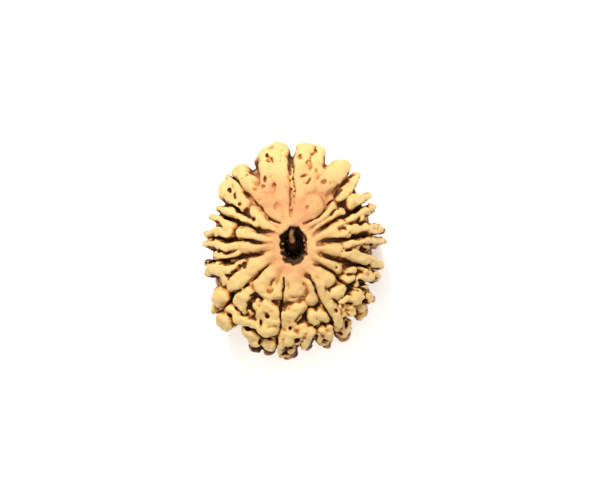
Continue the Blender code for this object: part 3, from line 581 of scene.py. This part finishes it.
def cut_furrow(line, deepest, widen):
    """One furrow over the crown, down the side and under the foot."""
    azimuth, reach, width = np.array(line, dtype=float).T
    rim = RIM * body_radius(np.radians(azimuth[-1]))
    top = skin_height(np.radians(azimuth[-1]), rim)
    crown = np.linspace(reach[0], rim, CROWN_POINTS)
    side = np.linspace(top, -top, SIDE_POINTS)
    foot = np.linspace(rim, FOOT_COLLAR, FOOT_POINTS)
    past_rim = np.ones(SIDE_POINTS + FOOT_POINTS)
    turn = np.radians(np.append(np.interp(crown, reach, azimuth), azimuth[-1] * past_rim))
    radius = np.concatenate([crown, skin_radius(turn[-1], side), foot])
    height = np.concatenate([skin_height(turn[:CROWN_POINTS], crown), side, -skin_height(turn[-1], foot)])
    half = np.append(np.interp(crown, reach, width), width[-1] * past_rim) / 2 * widen
    start = np.concatenate([ramp(crown - reach[0], *CROWN_RUN_IN), np.ones(SIDE_POINTS),
                            ramp(foot - FOOT_COLLAR, *FOOT_RUN_IN)])
    along = np.gradient(np.stack([radius, height]), axis=1)
    along /= np.linalg.norm(along, axis=0)
    inward = place(turn, along[1], -along[0])
    for first in range(0, len(turn) - 1, STRETCH):
        stretch = slice(first, first + STRETCH + 1)
        cut_slot(place(turn, radius, height)[stretch], inward[stretch],
                 np.maximum(half, LEAST_HALF)[stretch], (deepest * start)[stretch],
                 FURROW_TAPER, FURROW_SOFTNESS)


# A crease is cut through this many points. Past a share of the girdle's radius its height stays
# as it is there. It is wider than listed by a share and narrows by another to its ends
CREASE_POINTS = 5
CREASE_RIM = 0.97
CREASE_WIDEN = 1.25
CREASE_EASE = 0.4
CREASE_TAPER = 0.1
CREASE_SOFTNESS = 0.25
# On the full faces, past a radius, creases are worn to dimples: the deeper ones, from a depth
# on, by a share. A dimple is shallower by a share, and its taper and softness grow
DIMPLES_FROM = 7
DEEP_FROM = 0.8
DEEP_SHARE = 0.35
DIMPLE_SHALLOWER = 0.35
DIMPLE_TAPER = 0.1
DIMPLE_SOFTNESS = 0.15


def cut_crease(crease):
    """One crease, or one pit where its two ends nearly meet, cut straight down."""
    from_azimuth, from_radius, to_azimuth, to_radius, half, depth = crease
    ends = place(np.radians([from_azimuth, to_azimuth]), np.array([from_radius, to_radius]), np.zeros(2))
    points = ends[0] + (ends[1] - ends[0]) * np.linspace(0, 1, CREASE_POINTS)[:, None]
    turn, radius = polar(points)
    points[:, 2] = skin_height(turn, np.minimum(radius, CREASE_RIM * body_radius(turn)))
    ease = 1 - CREASE_EASE * np.abs(np.linspace(-1, 1, CREASE_POINTS)) ** 3
    down = np.tile([0, 0, -1.0], (CREASE_POINTS, 1))
    dimple = full_share(from_azimuth) * (from_radius > DIMPLES_FROM)
    dimple *= 1 if depth < DEEP_FROM else DEEP_SHARE
    cut_slot(points, down, CREASE_WIDEN * half * ease,
             np.full(CREASE_POINTS, depth * (1 - DIMPLE_SHALLOWER * dimple)),
             CREASE_TAPER + DIMPLE_TAPER * dimple, CREASE_SOFTNESS + DIMPLE_SOFTNESS * dimple)


random = np.random.default_rng(SEED)
ends = [line[-1][0] for line in FURROWS]
crown_ribs = [chain(stations, rise, 1) for stations, rise in RIBS]
for centre, width, inward, root in crown_ribs + girdle_chains(random) + foot_chains(random, ends):
    flare = np.interp(polar(centre)[1].mean(), *np.array(FLARES).T)
    knobs = field.bar_gap(centre, width, KNOB_MARGIN, inward, root, flare)
    field.merge(*knobs, RIB_SOFTNESS * width.mean())
crown = (slice(None), slice(None), slice(int(GRID_REACH[2] / GRID_STEP), None))
points = field.points(crown)
azimuth, radius = polar(points)
points[..., 2] -= shoulder_lift(np.degrees(azimuth), radius)
field.cut(crown, WORN_TOP - skin_gap(points), WORN_SOFTNESS)
cut_furrow(FURROWS[0], CRUMBED_DEPTH, CRUMBED_WIDTH)
for line in FURROWS[1:] + SHORT_FURROWS:
    cut_furrow(line, FURROW_DEPTH, 1)
for crease in CREASES:
    cut_crease(crease)

# The bore
# The natural hole along the axis, uneven at its mouth. A ridge of dried pith stands out of its
# wall and leans across it on the way down, with a few grains of pith on the walls.

# Radius of the mouth by azimuth
MOUTH = [(0, 2.95), (30, 2.6), (50, 2.2), (80, 1.8), (120, 2.0), (150, 2.3), (180, 2.55),
         (200, 2.55), (230, 2.2), (260, 1.95), (290, 2.2), (310, 2.5), (345, 2.9), (360, 2.95)]
# Waves round the mouth that make its edge ragged, and their size
RAGGED = [(7, 0.06), (11, 0.09), (17, 0.06), (26, 0.04)]
# The bore narrows to this share between two depths, and its lip is this soft
NECK = 0.6
NECK_DEPTHS = (1.5, 8)
LIP = 0.25
# Half the box that holds the bore
BORE_BOX = np.array([5, 5, 20])
# The ridge of pith, from its top down, and the grains: each one's place, then its half width
PITH_SOFTNESS = 0.3
GRAIN_SOFTNESS = 0.2
GRAIN_HALF_LENGTH = 0.1
PITH = [(0.0, 3.2, 8.4, 0.5), (-0.3, 2.0, 8.5, 0.42), (-0.3, 1.0, 7.6, 0.5), (-0.2, 0.4, 4.0, 0.66),
        (0.0, -0.6, -3.0, 0.7)]
GRAINS = [(1.35, 2.0, 8.5, 0.26), (1.4, 1.5, 8.1, 0.22), (1.5, 1.0, 8.4, 0.25), (1.6, 0.3, 8.0, 0.26),
          (1.65, -0.4, 8.2, 0.22), (-1.65, 0.6, 8.3, 0.25), (-1.7, -0.4, 8.0, 0.26), (-1.45, -1.5, 8.3, 0.26),
          (1.5, -1.3, 8.1, 0.26), (1.25, -2.1, 8.4, 0.28)]


def bore_gap_at(points):
    """Distance of points from the wall of the bore, negative in the bore."""
    azimuth, radius = polar(points)
    azimuth = np.degrees(azimuth) % 360
    mouth = np.interp(azimuth, *np.array(MOUTH).T)
    mouth += sum(size * np.sin(np.radians(waves * azimuth) + waves) for waves, size in RAGGED)
    narrow = 1 - (1 - NECK) * ramp(HALF_HEIGHT - np.abs(points[..., 2]), *NECK_DEPTHS)
    return radius - mouth * narrow


column = field.box_round(-BORE_BOX, BORE_BOX)
field.cut(column, bore_gap_at(field.points(column)).astype(np.float32), LIP)
pith = np.array(PITH)
field.merge(*field.bar_gap(pith[:, :3], pith[:, 3], KNOB_MARGIN), PITH_SOFTNESS)
for x, y, z, size in GRAINS:
    grain = np.array([(x, y, z - GRAIN_HALF_LENGTH), (x, y, z + GRAIN_HALF_LENGTH)])
    field.merge(*field.bar_gap(grain, size * np.ones(2), KNOB_MARGIN), GRAIN_SOFTNESS)

# Crumbs of dried pulp left in the first furrow, on the full side: how many, between which radii,
# how far they stray sideways, how deep under the skin they sit, their half width and length
CRUMBS = 30
CRUMB_REACH = (5.8, 11.9)
CRUMB_STRAY = 0.16
CRUMB_DEPTH = (0.5, 0.75)
CRUMB_HALF = (0.13, 0.21)
CRUMB_LENGTH = 0.1
CRUMB_SOFTNESS = 0.03
for reach in np.linspace(*CRUMB_REACH, CRUMBS):
    turn = np.radians(np.interp(reach, *np.array(FURROWS[0])[:, 1::-1].T))
    turn += random.uniform(-CRUMB_STRAY, CRUMB_STRAY) / reach
    spot = place(turn, reach, skin_height(turn, reach) - random.uniform(*CRUMB_DEPTH))
    crumb = np.stack([spot, spot + [CRUMB_LENGTH, 0, 0]])
    half = random.uniform(*CRUMB_HALF) * np.ones(2)
    field.merge(*field.bar_gap(crumb, half, KNOB_MARGIN), CRUMB_SOFTNESS)

# The foot
# The lower pole is worn flat round the bore, so the bead stands by itself. With the foot cut and
# the wrinkles of its skin added, the field turns into a surface.

field.gap += field.wrinkles[..., 0]
levels = field.low[2] + GRID_STEP * np.arange(field.gap.shape[2])
field.gap[:] = np.maximum(field.gap, FOOT_LEVEL - levels)
grid = openvdb.FloatGrid()
grid.copyFromArray(field.gap.astype(float))
corners, triangles, quads = grid.convertToPolygons(isovalue=0.0, adaptivity=0.0)
corners = corners * GRID_STEP + field.low


# Colour of the stone
# Dry woody skin, yellow-tan with tones that vary at random; the collar is a pinkish tan. Painted on
# it by the form: a painted highlight on the convex crests, painted shade tan down the flanks,
# red-brown in the creases and nearly black at the bottom of the furrows and in the bore, and a
# painted shadow under the overhanging knobs.

SKIN_AND_SHADE_TONES = [(0.0, (0.90, 0.63, 0.255, 1)), (0.2, (0.81, 0.46, 0.15, 1)), (0.42, (0.58, 0.24, 0.06, 1)),
         (0.7, (0.27, 0.09, 0.014, 1)), (1.0, (0.05, 0.015, 0.003, 1))]
COLLAR_TONE = (0.73, 0.345, 0.15, 1)
# Painted shade in the bore
BORE_SHADOW_TONE = (0.045, 0.03, 0.018, 1)
# How far each reading of the stone's form takes the skin along those tones, as painted shade and
# highlight
PALEST = -0.02
# Painted shade that grows with depth under the skin, darkest in the furrows
DEPTH_SHADE = 0.17
# Painted shade in the hollows and a painted highlight on the crests
HOLLOW_SHADE = 0.85
# Painted shade that grows as the skin turns steep down the flanks
FLANK_SHADE = 0.85
# A painted shadow under the overhanging knobs: how dark it goes, and the share it keeps where the middling
# noise is lowest
UNDER_SHADOW_SHADE = 0.85
UNDER_SHADOW_LEAST = 0.3
# Three noises, wide, middling and fine: scale, detail and roughness, then each one's middle and
# how far it takes the skin along the tones
NOISES = [(230, 3, 0.6), (620, 4, 0.6), (2600, 5, 0.65)]
PATCH_MIDDLE, PATCH_SHADE = 0.4, 0.75
BLOTCH_MIDDLE, BLOTCH_SHADE = 0.4, 0.7
FINE_MIDDLE, FINE_SHADE = 0.5, 0.5
# The collar's tone comes and goes with the wide noise
COLLAR_BY_PATCH = 1.6
COLLAR_LESS = 0.15
# How far the painted shade in the bore takes its colour
BORE_DARKNESS = 0.85
# Relief too fine for the mesh: its strength, its height in metres, its share of the middling noise.
# Then the roughness of the crests, how much rougher hollows are, and the shine
BUMP_STRENGTH = 0.6
BUMP_HEIGHT = 0.00015
BUMP_BLOTCH = 0.8
CREST_ROUGHNESS = 0.6
HOLLOW_ROUGHER = 0.25
SHINE = 0.15


class Value:
    """An output of a node, on which sums add Math nodes."""

    def __init__(self, nodes, socket):
        self.nodes = nodes
        self.socket = socket

    def maths(self, operation, *values):
        return self.nodes.add("ShaderNodeMath", {"operation": operation}, dict(enumerate(values)))

    def __add__(self, other):
        return self.maths("ADD", self, other)

    def __sub__(self, other):
        return self.maths("SUBTRACT", self, other)

    def __mul__(self, other):
        return self.maths("MULTIPLY", self, other)

    def __rsub__(self, other):
        return self.maths("SUBTRACT", other, self)

    def __rtruediv__(self, other):
        return self.maths("DIVIDE", other, self)

    __radd__ = __add__
    __rmul__ = __mul__


class Nodes:
    """A node tree, filled node by node."""

    def __init__(self, tree):
        self.tree = tree

    def add(self, kind, settings, inputs, output=0):
        """A node by its type, its settings, then the values or links of its inputs."""
        node = self.tree.nodes.new(kind)
        for name, value in settings.items():
            if name == "stops":
                self.set_stops(node.color_ramp, value)
            else:
                setattr(node, name, value)
        for name, value in inputs.items():
            if isinstance(value, Value):
                self.tree.links.new(value.socket, node.inputs[name])
            else:
                node.inputs[name].default_value = value
        return Value(self, node.outputs[output]) if node.outputs else node

    def set_stops(self, ramp, stops):
        while len(ramp.elements) > 1:
            ramp.elements.remove(ramp.elements[-1])
        ramp.elements[0].position = stops[0][0]
        ramp.elements[0].color = stops[0][1]
        for position, color in stops[1:]:
            ramp.elements.new(position).color = color


material = bpy.data.materials.new("Dry fruit stone")
material.use_nodes = True
material.node_tree.nodes.clear()
nodes = Nodes(material.node_tree)
depth, hollow, collar, flank, inside, under = (
    nodes.add("ShaderNodeAttribute", {"attribute_name": name}, {}, "Fac")
    for name in ("depth", "hollow", "collar", "flank", "inside", "under"))
spot = nodes.add("ShaderNodeTexCoord", {}, {}, "Object")
patch, blotch, fine = (
    nodes.add("ShaderNodeTexNoise", {},
              {"Vector": spot, "Scale": scale, "Detail": detail, "Roughness": roughness}, "Fac")
    for scale, detail, roughness in NOISES)
# Painted shade and highlight from the form, a painted shadow under the overhanging knobs, and the stone's own
# uneven tone from the three noises
shade = PALEST + depth * DEPTH_SHADE + hollow * HOLLOW_SHADE + flank * FLANK_SHADE
shade += under * (blotch + UNDER_SHADOW_LEAST) * UNDER_SHADOW_SHADE + (patch - PATCH_MIDDLE) * PATCH_SHADE
shade += (blotch - BLOTCH_MIDDLE) * BLOTCH_SHADE + (fine - FINE_MIDDLE) * FINE_SHADE
tone = nodes.add("ShaderNodeValToRGB", {"stops": SKIN_AND_SHADE_TONES}, {"Fac": shade}, "Color")
pink = nodes.add("ShaderNodeMix", {"data_type": "RGBA"},
                 {0: collar * (COLLAR_BY_PATCH * patch - COLLAR_LESS), 6: tone, 7: COLLAR_TONE}, 2)
# Painted shade in the bore
dark = nodes.add("ShaderNodeMix", {"data_type": "RGBA"},
                 {0: inside * BORE_DARKNESS, 6: pink, 7: BORE_SHADOW_TONE}, 2)
bump = nodes.add("ShaderNodeBump", {},
                 {"Strength": BUMP_STRENGTH, "Distance": BUMP_HEIGHT,
                  "Height": fine + blotch * BUMP_BLOTCH}, "Normal")
shader = nodes.add("ShaderNodeBsdfPrincipled", {},
                   {"Base Color": dark, "Roughness": hollow * HOLLOW_ROUGHER + CREST_ROUGHNESS,
                    "Normal": bump, "Specular IOR Level": SHINE}, "BSDF")
nodes.add("ShaderNodeOutputMaterial", {}, {"Surface": shader})

# The stone as a mesh
# The field's surface, softened, lightened to the faces that its form needs and set on the ground.

SOFTEN_ROUNDS = 2
MOST_TRIANGLES = 196000


def baked(holder):
    """The mesh with its modifiers applied."""
    view = bpy.context.evaluated_depsgraph_get()
    return bpy.data.meshes.new_from_object(holder.evaluated_get(view), depsgraph=view)


def read(collection, key, size, kind=np.float32):
    """A mesh's values as rows of this size."""
    flat = np.empty(len(collection) * size, dtype=kind)
    collection.foreach_get(key, flat)
    return flat.reshape(-1, size)


def neighbour_mean(values, edges, rounds):
    """Values at the vertices, averaged over their neighbours again and again."""
    count = np.bincount(edges.ravel(), minlength=len(values))[:, None]
    for _ in range(rounds):
        total = np.empty_like(values)
        for k in range(values.shape[1]):
            total[:, k] = (np.bincount(edges[:, 0], values[edges[:, 1], k], len(values))
                           + np.bincount(edges[:, 1], values[edges[:, 0], k], len(values)))
        values = 0.5 * values + 0.5 * total / count
    return values


# The skin counts as hollow where it lies under the mean of its neighbours, near and then wide, and
# is painted darker there as shade, and paler on crests as a painted highlight: the rounds of each
# mean, its weight, and the range kept
DEEPEST = 3
NEAR_ROUNDS, NEAR_WEIGHT = 10, 5
WIDE_ROUNDS, WIDE_WEIGHT = 60, 1.2
HOLLOW_RANGE = (-0.6, 1.4)
# Radii over which the collar's tone gives way, each after its share, and on the full faces, where it
# spreads wider: partly those faces' own peach tone, partly painted shade that darkens that side
COLLAR_FADES = [(0.6, 3.2, 6), (0.4, 5, 12)]
FULL_COLLAR = 1.1
FULL_COLLAR_FADE = (9, 14.5)
# The bore is painted dark, as shade, from this far inside its wall and this deep under the skin,
# but its pith and grains stay pale for this far round them
WALL_FADE = (0.1, 0.4)
MOUTH_FADE = (0.4, 1.0)
PALE_ROUND = (0.1, 0.45)
# Heights between which the side under the overhanging knobs is painted dark, as shadow, and then pale again
UNDER_SHADOW_TOP = (0, 2)
UNDER_SHADOW_FOOT = (-4.5, -1)


def mark_skin(mesh):
    """Attributes that the material reads: how deep under the skin, how hollow and how steep a
    place is, and how far it is on the collar, in the bore or under the overhanging knobs. All but
    the collar serve painted shade and highlight."""
    points = read(mesh.vertices, "co", 3).astype(float)
    normals = read(mesh.vertices, "normal", 3).astype(float)
    edges = read(mesh.edges, "vertices", 2, np.int32)
    # Depth under the skin, for painted shade in the furrows and hollows
    depth = np.clip(-skin_gap(points), 0, DEEPEST)
    # Steepness of the skin, for painted shade down the flanks
    flank = np.clip(1 + (inward_at(points) * normals).sum(axis=1), 0, 1)
    near = neighbour_mean(points, edges, NEAR_ROUNDS)
    wide = neighbour_mean(near, edges, WIDE_ROUNDS)
    hollow = ((NEAR_WEIGHT * (near - points) + WIDE_WEIGHT * (wide - points)) * normals).sum(axis=1)
    azimuth, radius = polar(points)
    azimuth = np.degrees(azimuth)
    collar = 1 - sum(share * ramp(radius, start, end) for share, start, end in COLLAR_FADES)
    # On the full faces the collar's tone reaches further out: partly their own peach tone, partly painted
    # shade on that side
    collar = np.maximum(collar, FULL_COLLAR * full_share(azimuth) * (1 - ramp(radius, *FULL_COLLAR_FADE)))
    # The bore's painted shade
    inside = (1 - ramp(bore_gap_at(points), *WALL_FADE)) * ramp(-skin_gap(points), *MOUTH_FADE)
    # A painted shadow under the overhanging knobs, on the knobby side
    under = knobby_share(azimuth) * (1 - ramp(points[:, 2], *UNDER_SHADOW_TOP)) * ramp(points[:, 2], *UNDER_SHADOW_FOOT)
    for x, y, z, size in GRAINS + PITH[1:3]:
        inside *= ramp(np.linalg.norm(points - [x, y, z], axis=1) - size, *PALE_ROUND)
    for name, values in (("depth", depth), ("hollow", np.clip(hollow, *HOLLOW_RANGE)),
                         ("collar", collar), ("flank", flank), ("inside", inside), ("under", under)):
        mesh.attributes.new(name, "FLOAT", "POINT").data.foreach_set("value", values)


# Folds and grain that roughen every surface: each one's size across and its height
WEATHERING = {"Fold size": 2.0, "Fold height": 0.5, "Grain size": 0.6, "Grain height": 0.13}
# A fold is lowest where its noise is at its middle, and level with the skin this far from it.
# Then the detail of each noise
FOLD_TURN = 0.1
NOISE_DETAIL = {"Fold": 1, "Grain": 2}


def socket_of(tree, name):
    """The identifier of a tree's input."""
    return next(item.identifier for item in tree.interface.items_tree if item.name == name)


def weathering_tree():
    """Moves the surface in and out by two scales of noise."""
    tree = bpy.data.node_groups.new("Weathering", "GeometryNodeTree")
    tree.interface.new_socket("Stone", in_out="INPUT", socket_type="NodeSocketGeometry")
    for name in WEATHERING:
        tree.interface.new_socket(name, in_out="INPUT", socket_type="NodeSocketFloat")
    tree.interface.new_socket("Finish", in_out="INPUT", socket_type="NodeSocketMaterial")
    tree.interface.new_socket("Stone", in_out="OUTPUT", socket_type="NodeSocketGeometry")
    nodes = Nodes(tree)
    given = nodes.add("NodeGroupInput", {}, {}).socket.node.outputs
    spot = nodes.add("GeometryNodeInputPosition", {}, {})
    normal = nodes.add("GeometryNodeInputNormal", {}, {})
    scales = [1 / Value(nodes, given[name + " size"]) for name in NOISE_DETAIL]
    fold, grain = (
        nodes.add("ShaderNodeTexNoise", {}, {"Vector": spot, "Scale": scale, "Detail": detail}) - 0.5
        for scale, detail in zip(scales, NOISE_DETAIL.values()))
    fold = fold.maths("ABSOLUTE", fold) - FOLD_TURN
    height = fold * 2 * Value(nodes, given["Fold height"]) + grain * 2 * Value(nodes, given["Grain height"])
    rough = nodes.add("GeometryNodeInputNamedAttribute", {"data_type": "FLOAT"},
                      {"Name": "rough"}, "Attribute")
    offset = nodes.add("ShaderNodeVectorMath", {"operation": "SCALE"},
                       {0: normal, "Scale": height * rough}, "Vector")
    moved = nodes.add("GeometryNodeSetPosition", {},
                      {"Geometry": Value(nodes, given["Stone"]), "Offset": offset})
    real = nodes.add("GeometryNodeRealizeInstances", {}, {"Geometry": moved})
    dressed = nodes.add("GeometryNodeSetMaterial", {},
                        {"Geometry": real, "Material": Value(nodes, given["Finish"])})
    nodes.add("NodeGroupOutput", {}, {0: dressed})
    return tree


mesh = bpy.data.meshes.new("stone")
mesh.from_pydata(corners.tolist(), [], triangles.tolist() + quads.tolist())
stone = bpy.data.objects.new("stone", mesh)
bpy.context.scene.collection.objects.link(stone)
soften = stone.modifiers.new("Soften", "SMOOTH")
soften.iterations = SOFTEN_ROUNDS
fewer = stone.modifiers.new("Fewer faces", "DECIMATE")
fewer.ratio = min(1, MOST_TRIANGLES / (2 * len(quads) + len(triangles)))
stone.data = baked(stone)
stone.modifiers.clear()

# The lobes round the collar are smooth, the full faces less rough by a share, and the rest rough
SMOOTH_ROUGHNESS = 0.25
SMOOTH_FADE = (5, 9.5)
FULL_SMOOTHER = 0.35
points = read(stone.data.vertices, "co", 3)
azimuth, radius = polar(points)
rough = SMOOTH_ROUGHNESS + (1 - SMOOTH_ROUGHNESS) * ramp(radius, *SMOOTH_FADE)
rough *= 1 - FULL_SMOOTHER * full_share(np.degrees(azimuth))
stone.data.attributes.new("rough", "FLOAT", "POINT").data.foreach_set("value", rough)
weathering = stone.modifiers.new("Weathering", "NODES")
weathering.node_group = weathering_tree()
for name, value in WEATHERING.items():
    weathering[socket_of(weathering.node_group, name)] = value
weathering[socket_of(weathering.node_group, "Finish")] = material
stone.data = baked(stone)
stone.modifiers.clear()
mark_skin(stone.data)
points = read(stone.data.vertices, "co", 3)
middle = (points.min(axis=0) + points.max(axis=0)) / 2
middle[2] = points[:, 2].min()
stone.data.vertices.foreach_set("co", ((points - middle) * MM).ravel())
stone.data.shade_smooth()
stone.data.update()

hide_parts("bead")
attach(stone, "root")

# Ground
# A plain pale sheet that the bead lies on.

SHEET_SIZE = 3
SHEET_TONE = (0.96, 0.96, 0.96, 1)
SHEET_ROUGHNESS = 0.9

bpy.ops.mesh.primitive_plane_add(size=SHEET_SIZE)
ground = bpy.context.object
ground.name = "ground"
ground_look = bpy.data.materials.new("White sheet")
ground_look.use_nodes = True
paint = ground_look.node_tree.nodes["Principled BSDF"]
paint.inputs["Base Color"].default_value = SHEET_TONE
paint.inputs["Roughness"].default_value = SHEET_ROUGHNESS
ground.data.materials.append(ground_look)

# Light
# A soft key lamp over the upper edge of the view, a little to its left, as in the photo, a wide
# one straight above, and a dim white surround. A small lamp at the lower edge lights the sheet
# alone, and keeps it pale. Each has its azimuth, how high it stands in degrees, its distance,
# size, power and colour.

SURROUND_STRENGTH = 0.2


def add_lamp(name, azimuth, rise, distance, size, power, color, lit=None):
    turn, climb = math.radians(azimuth), math.radians(rise)
    data = bpy.data.lights.new(name, "AREA")
    data.size = size
    data.energy = power
    data.color = color
    lamp = bpy.data.objects.new(name, data)
    reach = distance * math.cos(climb)
    lamp.location = (reach * math.sin(turn), reach * math.cos(turn), distance * math.sin(climb))
    lamp.rotation_euler = (-lamp.location).to_track_quat("-Z", "Y").to_euler()
    bpy.context.scene.collection.objects.link(lamp)
    if lit:
        lamp.light_linking.receiver_collection = bpy.data.collections.new(name + " lights")
        lamp.light_linking.receiver_collection.objects.link(lit)


add_lamp("key", -14, 52, 0.5, 0.09, 2.0, (1, 0.95, 0.88))
add_lamp("top", 0, 84, 0.6, 0.36, 1.5, (1, 0.98, 0.95))
add_lamp("sheet", 165, 35, 0.11, 0.08, 0.1, (1, 1, 1), ground)

world = bpy.data.worlds.new("Surround")
world.use_nodes = True
world.node_tree.nodes["Background"].inputs["Color"].default_value = (1, 1, 1, 1)
world.node_tree.nodes["Background"].inputs["Strength"].default_value = SURROUND_STRENGTH
bpy.context.scene.world = world
bpy.context.scene.view_settings.view_transform = "Standard"

# Camera
# The photo looks straight down the bore. Its frame is 600 by 500 pixels at 0.15 mm a pixel at the
# girdle's height, with the middle of the bead's box a little left of and below its centre.

PIXEL = 0.00015
FRAME_WIDTH = 600
LEFT_OF_CENTRE = 5.5
BELOW_CENTRE = 0.5
SENSOR = 36
EYE_HEIGHT = 0.45
GIRDLE = HALF_HEIGHT * MM

camera_data = bpy.data.cameras.new("camera")
camera_data.sensor_width = SENSOR
camera_data.lens = SENSOR * (EYE_HEIGHT - GIRDLE) / (FRAME_WIDTH * PIXEL)
camera = bpy.data.objects.new("camera", camera_data)
camera.location = (LEFT_OF_CENTRE * PIXEL, BELOW_CENTRE * PIXEL, EYE_HEIGHT)
bpy.context.scene.collection.objects.link(camera)
bpy.context.scene.camera = camera
